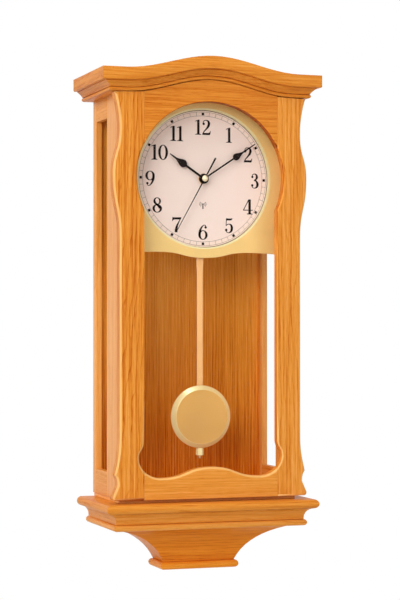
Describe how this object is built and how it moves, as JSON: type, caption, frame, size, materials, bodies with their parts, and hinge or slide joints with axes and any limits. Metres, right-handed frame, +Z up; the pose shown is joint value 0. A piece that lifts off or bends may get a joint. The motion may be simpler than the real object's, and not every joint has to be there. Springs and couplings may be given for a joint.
{
  "type": "pendulum wall clock",
  "caption": "Oak wall clock case with a curved crown and shaped door, round white dial in a gold plate, black hands and a swinging pendulum.",
  "frame": {"origin": "hanging point on the back of the hanger plate, 75 mm above the hands' axis and in the wall's plane", "axes": "+X to the right seen from the front, +Y into the wall, +Z up; the dial faces -Y"},
  "size_m": [0.266, 0.1334, 0.5943],
  "materials": {
    "oak": "satin lacquer",
    "oak_inside": "satin lacquer",
    "gold_sheet": "gold-coloured, satin",
    "hinge_brass": "satin",
    "steel": "zinc plated",
    "door_pane": "clear",
    "dial_white": "matte",
    "hand_black": "matte",
    "dark_plastic": "matte",
    "pale_plastic": "matte",
    "board_green": "matte",
    "ferrite": "matte",
    "copper": "wound wire",
    "battery_sleeve": "plain"
  },
  "bodies": {
    "case": {"case_top_board": "oak", "side_rear_stile_left": "oak", "side_rear_stile_right": "oak", "side_front_stile_left": "oak", "side_front_stile_right": "oak", "side_top_rail_left": "oak", "side_top_rail_right": "oak", "side_bottom_rail_left": "oak", "side_bottom_rail_right": "oak", "crown_front": "oak", "crown_return_left": "oak", "crown_return_right": "oak", "base_spacer": "oak", "base_shelf": "oak", "base_moulding": "oak", "pendant_block": "oak", "pendant_foot": "oak", "back_panel": "oak_inside", "case_bottom_board": "oak_inside", "dial_cleat_left": "oak_inside", "dial_cleat_right": "oak_inside", "dial_plate": "gold_sheet", "hinge_case_leaf_upper": "hinge_brass", "hinge_case_leaf_lower": "hinge_brass", "fixing_nut": "hinge_brass", "hanger_plate": "steel", "hinge_pin_upper": "steel", "hinge_pin_lower": "steel", "dial_disc": "dial_white", "movement_housing": "dark_plastic", "movement_cover": "dark_plastic", "catch_magnet": "dark_plastic", "circuit_board": "board_green", "antenna": "ferrite", "second_motor": "copper", "minute_motor": "copper", "pendulum_coil": "copper", "battery": "battery_sleeve"},
    "door": {"door_stile_left": "oak", "door_stile_right": "oak", "door_top_rail": "oak", "door_bottom_rail": "oak", "door_glass": "door_pane", "hinge_door_leaf_upper": "hinge_brass", "hinge_door_leaf_lower": "hinge_brass", "catch_strike": "steel"},
    "minute_train": {"centre_wheel": "pale_plastic", "minute_hand": "hand_black"},
    "hour_train": {"hour_wheel": "pale_plastic", "hour_hand": "hand_black"},
    "motion_train": {"motion_wheel": "pale_plastic"},
    "second_train": {"second_wheel": "pale_plastic", "second_hand": "hand_black", "hand_cap": "gold_sheet"},
    "pendulum": {"pendulum_hanger": "pale_plastic", "pendulum_rod": "gold_sheet", "pendulum_bob": "gold_sheet"},
    "pendulum_nut": {"rating_nut": "gold_sheet"},
    "set_key": {"set_button": "pale_plastic"},
    "receive_key": {"receive_button": "pale_plastic"}
  },
  "joints": [
    {"name": "door_hinge", "type": "hinge", "parent": "case", "child": "door", "pos_m": [0.1115, -0.1038, -0.19], "axis": [0, 0, 1], "range_deg": [0, 110]},
    {"name": "minute_turn", "type": "hinge", "parent": "case", "child": "minute_train", "pos_m": [0, -0.08, -0.075], "axis": [0, 1, 0], "continuous": true},
    {"name": "hour_turn", "type": "hinge", "parent": "case", "child": "hour_train", "pos_m": [0, -0.08, -0.075], "axis": [0, 1, 0], "continuous": true},
    {"name": "motion_turn", "type": "hinge", "parent": "case", "child": "motion_train", "pos_m": [0.00849, -0.08, -0.06651], "axis": [0, 1, 0], "continuous": true},
    {"name": "second_turn", "type": "hinge", "parent": "case", "child": "second_train", "pos_m": [0, -0.08, -0.075], "axis": [0, 1, 0], "continuous": true},
    {"name": "pendulum_swing", "type": "hinge", "parent": "case", "child": "pendulum", "pos_m": [0, -0.078, -0.097], "axis": [0, 1, 0], "range_deg": [-5, 5]},
    {"name": "rating_nut_turn", "type": "hinge", "parent": "pendulum", "child": "pendulum_nut", "pos_m": [0, -0.07595, -0.393], "axis": [0, 0, 1], "continuous": true},
    {"name": "set_press", "type": "slide", "parent": "case", "child": "set_key", "axis": [0, -1, 0], "range_m": [0, 0.0008], "stiffness_N_per_m": 300, "springref_m": -0.0005},
    {"name": "receive_press", "type": "slide", "parent": "case", "child": "receive_key", "axis": [0, -1, 0], "range_m": [0, 0.0008], "stiffness_N_per_m": 300, "springref_m": -0.0005}
  ],
  "couplings": [
    {"joint": "hour_turn", "follows": "minute_turn", "ratio": 0.083333},
    {"joint": "motion_turn", "follows": "minute_turn", "ratio": -0.33333}
  ]
}
